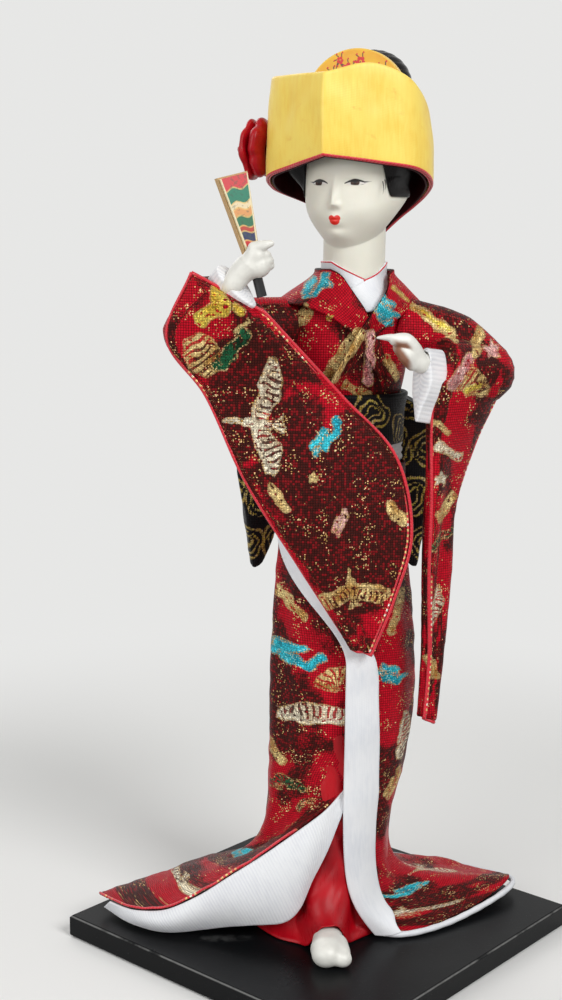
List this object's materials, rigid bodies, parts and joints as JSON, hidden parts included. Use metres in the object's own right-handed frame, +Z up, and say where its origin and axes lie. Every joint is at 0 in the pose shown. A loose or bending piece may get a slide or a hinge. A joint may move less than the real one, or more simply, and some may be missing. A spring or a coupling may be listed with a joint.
{
  "type": "display doll",
  "caption": "Standing doll in a red brocade kimono with black obi, yellow headdress and a paddle in the raised hand, on a square black base; head, hands and paddle move.",
  "frame": {"origin": "centre of the base's underside, which is the bottom centre of the whole", "axes": "+Z up; the doll faces -Y, with one corner of the square base towards -Y; the raised hand is on the -X side"},
  "size_m": [0.1768, 0.1768, 0.305],
  "materials": {
    "lacquer": "satin black lacquer",
    "steel": "drawn wire",
    "wood": "plain wood",
    "wadding": "wrapped wadding",
    "cotton": "white cotton over a form",
    "skin": "smooth white",
    "hair": "glossy black fibre",
    "comb": "printed gloss",
    "yellow_satin": "satin",
    "red_satin": "satin",
    "white_satin": "satin",
    "brocade": "figured brocade",
    "obi": "black brocade with gold thread",
    "card": "printed card"
  },
  "bodies": {
    "figure": {"base_plate": "lacquer", "leg_wire_right": "steel", "leg_wire_left": "steel", "foot_right": "cotton", "foot_left": "cotton", "leg_right": "wadding", "leg_left": "wadding", "body_core": "wadding", "neck_peg": "wood", "arm_wire_right": "steel", "arm_wire_left": "steel", "arm_pad_right": "wadding", "arm_pad_left": "wadding", "bodice": "brocade", "inner_collar_right": "white_satin", "inner_collar_left": "white_satin", "collar_right": "brocade", "collar_left": "brocade", "obi_band": "obi", "sash": "white_satin", "obi_knot": "obi", "obi_loop_right": "obi", "obi_loop_left": "obi", "skirt": "brocade", "facing_front": "white_satin", "lining_side": "white_satin", "hem_roll": "white_satin", "underskirt": "red_satin", "sleeve_right": "brocade", "sleeve_left": "brocade", "cuff_right": "white_satin", "cuff_left": "white_satin"},
    "head": {"head": "skin", "hair": "hair", "hair_bun": "hair", "comb": "comb", "headdress": "yellow_satin", "headdress_lining": "red_satin", "rose_petals": "red_satin", "rose_heart": "red_satin"},
    "right_hand": {"hand_right": "skin"},
    "left_hand": {"hand_left": "skin"},
    "paddle": {"paddle_board": "wood", "paddle_grip": "lacquer", "paddle_print": "card"}
  },
  "joints": [
    {"name": "neck_turn", "type": "hinge", "parent": "figure", "child": "head", "pos_m": [0.0073, 0, 0.221], "axis": [0, 0, 1], "range_deg": [-25, 45]},
    {"name": "right_wrist_turn", "type": "hinge", "parent": "figure", "child": "right_hand", "pos_m": [-0.0326, -0.031, 0.2308], "axis": [0.5027, -0.5252, 0.6866], "range_deg": [-15, 15]},
    {"name": "left_wrist_turn", "type": "hinge", "parent": "figure", "child": "left_hand", "pos_m": [0.025, -0.029, 0.205], "axis": [-0.8253, -0.539, 0.1684], "range_deg": [-15, 15]},
    {"name": "paddle_pull", "type": "slide", "parent": "right_hand", "child": "paddle", "axis": [-0.2599, 0, 0.9656], "range_m": [0, 0.018]}
  ]
}
